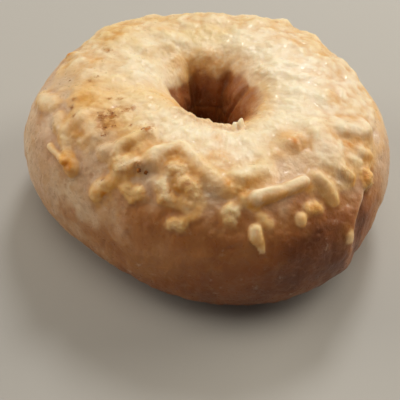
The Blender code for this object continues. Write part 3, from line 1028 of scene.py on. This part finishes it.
class Shading:  # a material's nodes
    def __init__(self, name):
        self.material = bpy.data.materials.new(name)
        self.material.use_nodes = True
        self.tree = self.material.node_tree
        self.shader = self.tree.nodes["Principled BSDF"]
        self.place = self.add("ShaderNodeTexCoord", {}, {}, "Object")

    def add(self, kind, settings, inputs, output=0):
        node = self.tree.nodes.new(kind)
        for name, value in settings.items():
            setattr(node, name, value)
        self.feed(node, inputs)
        return Field(self, node.outputs[output])

    def feed(self, node, inputs):
        for name, value in inputs.items():
            if isinstance(value, Field):
                self.tree.links.new(value.socket, node.inputs[name])
            else:
                node.inputs[name].default_value = value

    def set(self, **inputs):
        self.feed(self.shader, {name.replace("_", " "): value for name, value in inputs.items()})

    def noise(self, size, detail=3.0, roughness=0.55):  # 0 to 1, in blobs of this size
        return self.add("ShaderNodeTexNoise", {}, {"Vector": self.place, "Scale": 0.5 / (size * mm),
                                                   "Detail": detail, "Roughness": roughness})

    def between(self, value, low, high, outLow=0.0, outHigh=1.0):
        return self.add("ShaderNodeMapRange", {"interpolation_type": "SMOOTHSTEP"}, {
            "Value": value, "From Min": low, "From Max": high, "To Min": outLow, "To Max": outHigh})

    def patches(self, size, detail, *ends):  # where a noise lies between two values
        return self.between(self.noise(size, detail), *ends)

    def blend(self, share, first, second):  # the mix node's sockets 6 and 7 are its two colours
        return self.add("ShaderNodeMix", {"data_type": "RGBA"}, {0: share, 6: first, 7: second}, 2)

    def mask(self, name):
        return self.add("ShaderNodeAttribute", {"attribute_name": name}, {}, "Fac")

    def bump(self, height, distance, strength, below=None):
        inputs = {"Height": height, "Distance": distance * mm, "Strength": strength}
        if below:
            inputs["Normal"] = below
        return self.add("ShaderNodeBump", {}, inputs)


screenCurve = {"lift": 0.055, "power": 2.4}


def tone(red, green, blue):  # a screen colour, 0 to 255, as the shader's linear colour
    lift, power = screenCurve["lift"], screenCurve["power"]
    return tuple(((part / 255 + lift) / (1.0 + lift)) ** power for part in (red, green, blue)) + (1.0,)


doughLook = {
    "pale": tone(226, 200, 167),
    "pink": tone(212, 176, 142),
    "tan": tone(200, 155, 107),
    "golden": tone(186, 128, 74),
    "brown": tone(152, 88, 36),
    "deep": tone(110, 57, 19),
    "stain": tone(190, 124, 60),
    "fleck": tone(244, 226, 200),
    "freckle": tone(168, 118, 84),
    # Noises: size, detail, between which values they show, how little and how much
    "pinkPatches": (8.0, 3.0, 0.38, 0.62),
    "tanPatches": (3.0, 4.0, 0.48, 0.66, 0.0, 0.7),
    "bakedUneven": (4.0, 5.0, 0.3, 0.7, -0.12, 0.12),
    "stainPatches": (2.0, 3.0, 0.3, 0.62, 0.1, 0.6),
    "freckles": (1.0, 5.0, 0.56, 0.70, 0.0, 0.4),
    "flecks": (1.5, 5.0, 0.62, 0.78, 0.0, 0.35),
    "veinSize": 3.0,
    "veins": (0.0, 0.0006, 0.2, 0.0),  # thin lines, where a noise is near its middle
    # Tones for the bake and its painted shade, from golden to deep brown
    "bakeAndShadeTones": (("golden", 0.05, 0.45), ("brown", 0.3, 0.75), ("deep", 0.7, 1.12)),
    "fine": (1.4, 4.0),
    "rough": (0.3, 0.7, 0.36, 0.56),
    "fineBump": (0.35, 0.6),
    "pores": (0.5, 3.0),
    "poreBump": (0.12, 0.5),
    "shader": {"Specular_IOR_Level": 0.3, "Subsurface_Weight": 0.5, "Subsurface_Radius": (1.0, 0.7, 0.45),
               "Subsurface_Scale": 2.2 * mm},
}


def doughColour(look):
    form = doughLook
    colour = look.blend(look.patches(*form["pinkPatches"]), form["pink"], form["pale"])
    colour = look.blend(look.patches(*form["tanPatches"]), colour, form["tan"])
    # How brown: the bake with its painted shade and painted light, and uneven patches
    brownness = look.mask("bakeAndShade") + look.patches(*form["bakedUneven"])
    for name, low, high in form["bakeAndShadeTones"]:
        colour = look.blend(look.between(brownness, low, high), colour, form[name])
    colour = look.blend(look.mask("halo") * look.patches(*form["stainPatches"]), colour, form["stain"])
    colour = look.blend(look.patches(*form["freckles"]), colour, form["freckle"])
    vein = look.between((look.noise(form["veinSize"]) - 0.5) ** 2, *form["veins"])
    colour = look.blend(vein, colour, form["freckle"])
    return look.blend(look.patches(*form["flecks"]), colour, form["fleck"])


def doughMaterial():
    look, form = Shading("bakedDough"), doughLook
    fine = look.noise(*form["fine"])
    pores = look.bump(look.noise(*form["pores"]), *form["poreBump"])
    look.set(Base_Color=doughColour(look), Roughness=look.between(fine, *form["rough"]),
             Normal=look.bump(fine, *form["fineBump"], pores), **form["shader"])
    return look.material


cheeseLook = {
    "cream": tone(238, 226, 197),
    "butter": tone(232, 211, 164),
    "beige": tone(222, 194, 148),
    # Warm: toast, and a painted warm tone on shaded slopes
    "warm": tone(236, 190, 120),
    "milk": tone(248, 241, 222),
    "window": tone(224, 196, 162),
    # Gold: toasted cheese, and painted golden shade on sides turned from the light
    "gold": tone(218, 150, 32),
    # Amber, the darkest gold: toast, and painted shade under lumps
    "amber": tone(206, 128, 6),
    # Painted shade in the hollows
    "creviceShade": tone(208, 142, 36),
    "char": tone(176, 112, 30),
    "butterPatches": (7.0, 3.0, 0.4, 0.66),
    "beigePatches": (4.0, 3.0, 0.52, 0.66, 0.0, 0.7),
    "butterGrains": (0.9, 3.0, 0.5, 0.64, 0.0, 0.25),
    "milkPatches": (4.0, 3.0, 0.3, 0.6, 0.5, 1.0),
    "warmPatches": (3.0, 4.0, 0.35, 0.65, 0.4, 1.0),
    "charPatches": (0.6, 4.0, 0.4, 0.56, 0.15, 1.0),
    "coverUneven": (1.8, 4.0, 0.3, 0.7, -0.2, 0.2),
    "shown": (0.05, 0.95),
    "fine": (1.1, 3.0),
    "creviceShows": (0.3, 0.6, 0.7, 1.0),
    "goldShows": (0.3, 0.6, 0.55, 1.0),
    "amberFrom": (0.76, 1.0),
    "windowShows": 0.75,
    "glints": (0.4, 2.0, 0.60, 0.68),
    "rough": (0.3, 0.7, 0.42, 0.60),
    "windowSheen": 0.12,
    "glintSheen": 0.26,
    "coat": (0.05, 0.3, 0.35),  # everywhere, on the windows, on the glints
    "pits": (0.45, 3.0),
    "pitBump": (0.2, 0.6),
    "crumbs": (0.6, 3.0, 0.65),
    "crumbBump": (0.7, 0.9),
    "windowCrumbs": 0.5,
    "fineBump": (0.4, 0.65),
    "shader": {"Specular_IOR_Level": 0.4, "Subsurface_Weight": 0.95, "Subsurface_Radius": (1.0, 0.92, 0.72),
               "Subsurface_Scale": 1.9 * mm, "Coat_Roughness": 0.18},
}


def crustMaterial():
    look, form = Shading("cheeseCrust"), cheeseLook
    fine = look.noise(*form["fine"])
    gold, window = look.mask("gold"), look.mask("window")
    colour = look.blend(look.patches(*form["butterPatches"]), form["cream"], form["butter"])
    for share, name in (
            (look.patches(*form["beigePatches"]), "beige"),
            (look.patches(*form["butterGrains"]), "butter"),
            (look.mask("milky") * look.patches(*form["milkPatches"]), "milk"),
            # warm: toast, and a painted warm tone on shaded slopes
            (look.mask("warm") * look.patches(*form["warmPatches"]), "warm"),
            # painted shade in the hollows
            (look.mask("hollowShade") * look.between(fine, *form["creviceShows"]), "creviceShade"),
            # gold: toast, and painted golden shade
            (gold * look.between(fine, *form["goldShows"]), "gold"),
            # amber where the gold is strongest: toast, and painted shade under lumps
            (look.between(gold, *form["amberFrom"]), "amber"),
            (look.mask("char") * look.patches(*form["charPatches"]), "char")):
        colour = look.blend(share, colour, form[name])
    shown = look.between(look.mask("cover") + look.patches(*form["coverUneven"]), *form["shown"])
    colour = look.blend(shown, doughColour(look), colour)
    look.set(Base_Color=look.blend(window * form["windowShows"], colour, form["window"]))
    glints = look.patches(*form["glints"])
    rough = look.between(fine, *form["rough"]) - window * form["windowSheen"] - glints * form["glintSheen"]
    everywhere, onWindow, onGlints = form["coat"]
    look.set(Roughness=rough, Coat_Weight=window * onWindow + glints * onGlints + everywhere)
    pits = look.bump(look.noise(*form["pits"]), *form["pitBump"])
    crumbly = look.noise(*form["crumbs"]) * (look.mask("heap") + window * form["windowCrumbs"])
    pits = look.bump(crumbly, *form["crumbBump"], pits)
    look.set(Normal=look.bump(fine, *form["fineBump"], pits), **form["shader"])
    return look.material


crumbLook = {
    "dark": tone(122, 64, 14),
    "light": tone(190, 116, 34),
    "fine": (0.5, 3.0),
    "lightShows": (0.35, 0.65),
    "rough": (0.3, 0.7, 0.45, 0.7),
    "fineBump": (0.15, 0.6),
}


def crumbMaterial():
    look, form = Shading("brownedCrumbs"), crumbLook
    fine = look.noise(*form["fine"])
    look.set(Base_Color=look.blend(look.between(fine, *form["lightShows"]), form["dark"], form["light"]),
             Roughness=look.between(fine, *form["rough"]), Normal=look.bump(fine, *form["fineBump"]))
    return look.material


for piece, material in (
        (bagelBase, doughMaterial()), (bagelCrust, crustMaterial()), (brownedCrumbs, crumbMaterial())):
    piece.data.materials.clear()
    piece.data.materials.append(material)
    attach(piece, "root")
    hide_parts("bagel")
print("materials laid on")

# Plain soft studio: the key light from behind and above, warm ones at both sides and overhead
studio = {
    "floorTone": tone(178, 176, 172),
    "floorSize": 3.0,
    "floorRoughness": 0.8,
    "target": (0.0, 0.0, 0.02),
    "away": 0.9,
    # Where from, size, power, colour
    "keyLight": ((0.13, 0.62, 0.78), 0.22, 3.25, (1.0, 0.99, 0.96)),
    "leftLight": ((-0.95, 0.12, 0.45), 0.6, 3.0, (1.0, 0.92, 0.78)),
    "rightLight": ((0.85, 0.45, 0.5), 0.6, 4.2, (1.0, 0.92, 0.78)),
    "topLight": ((0.0, -0.1, 1.0), 0.6, 2.3, (1.0, 0.92, 0.78)),
    "world": (1.0, 0.9, 0.8),
    "worldStrength": 0.13,
}


def makeStudio():
    bpy.ops.mesh.primitive_plane_add(size=studio["floorSize"])
    floor = named("paleFloor")
    look = Shading("paleFloor")
    look.set(Base_Color=studio["floorTone"], Roughness=studio["floorRoughness"])
    floor.data.materials.append(look.material)
    target = Vector(studio["target"])
    for name in ("keyLight", "leftLight", "rightLight", "topLight"):
        way, size, power, colour = studio[name]
        spot = target + Vector(way).normalized() * studio["away"]
        bpy.ops.object.light_add(type="AREA", location=spot)
        light = named(name)
        light.data.shape = "DISK"
        light.data.size = size
        light.data.energy = power
        light.data.color = colour
        light.rotation_euler = (target - spot).to_track_quat("-Z", "Y").to_euler()
    world = bpy.data.worlds.new("softRoom")
    world.use_nodes = True
    background = world.node_tree.nodes["Background"]
    background.inputs["Color"].default_value = (*studio["world"], 1.0)
    background.inputs["Strength"].default_value = studio["worldStrength"]
    bpy.context.scene.world = world


# The photo's view: a near camera that looks down and a little to the left
view = {
    "away": 165.0,
    "height": 20.0,
    "climb": 40.0,
    "pitch": 46.33,
    "yaw": -0.71,
    "roll": 3.0,
    "focal": 579.4,  # in pixels of the picture
    "frame": 400.0,
    "sensor": 36.0,
    "clipStart": 0.005,
}


def makeCamera():
    climb, pitch = math.radians(view["climb"]), math.radians(view["pitch"])
    yaw, roll = math.radians(view["yaw"]), math.radians(view["roll"])
    forward = Vector((math.sin(yaw) * math.cos(pitch), math.cos(yaw) * math.cos(pitch), -math.sin(pitch)))
    right = Vector((math.cos(yaw), -math.sin(yaw), 0.0))
    up = right.cross(forward)
    across = right * math.cos(roll) + up * math.sin(roll)
    upward = up * math.cos(roll) - right * math.sin(roll)
    spot = Vector((ringForm["centreX"], ringForm["centreY"] - view["away"] * math.cos(climb),
                   view["height"] + view["away"] * math.sin(climb))) * mm
    bpy.ops.object.camera_add(location=spot)
    camera = named("photoView")
    camera.rotation_euler = Matrix((across, upward, -forward)).transposed().to_euler()
    camera.data.sensor_width = view["sensor"]
    camera.data.lens = view["focal"] / view["frame"] * view["sensor"]
    camera.data.clip_start = view["clipStart"]
    bpy.context.scene.camera = camera


makeStudio()
makeCamera()
bpy.context.scene.view_settings.view_transform = "Standard"
print("studio and camera set")
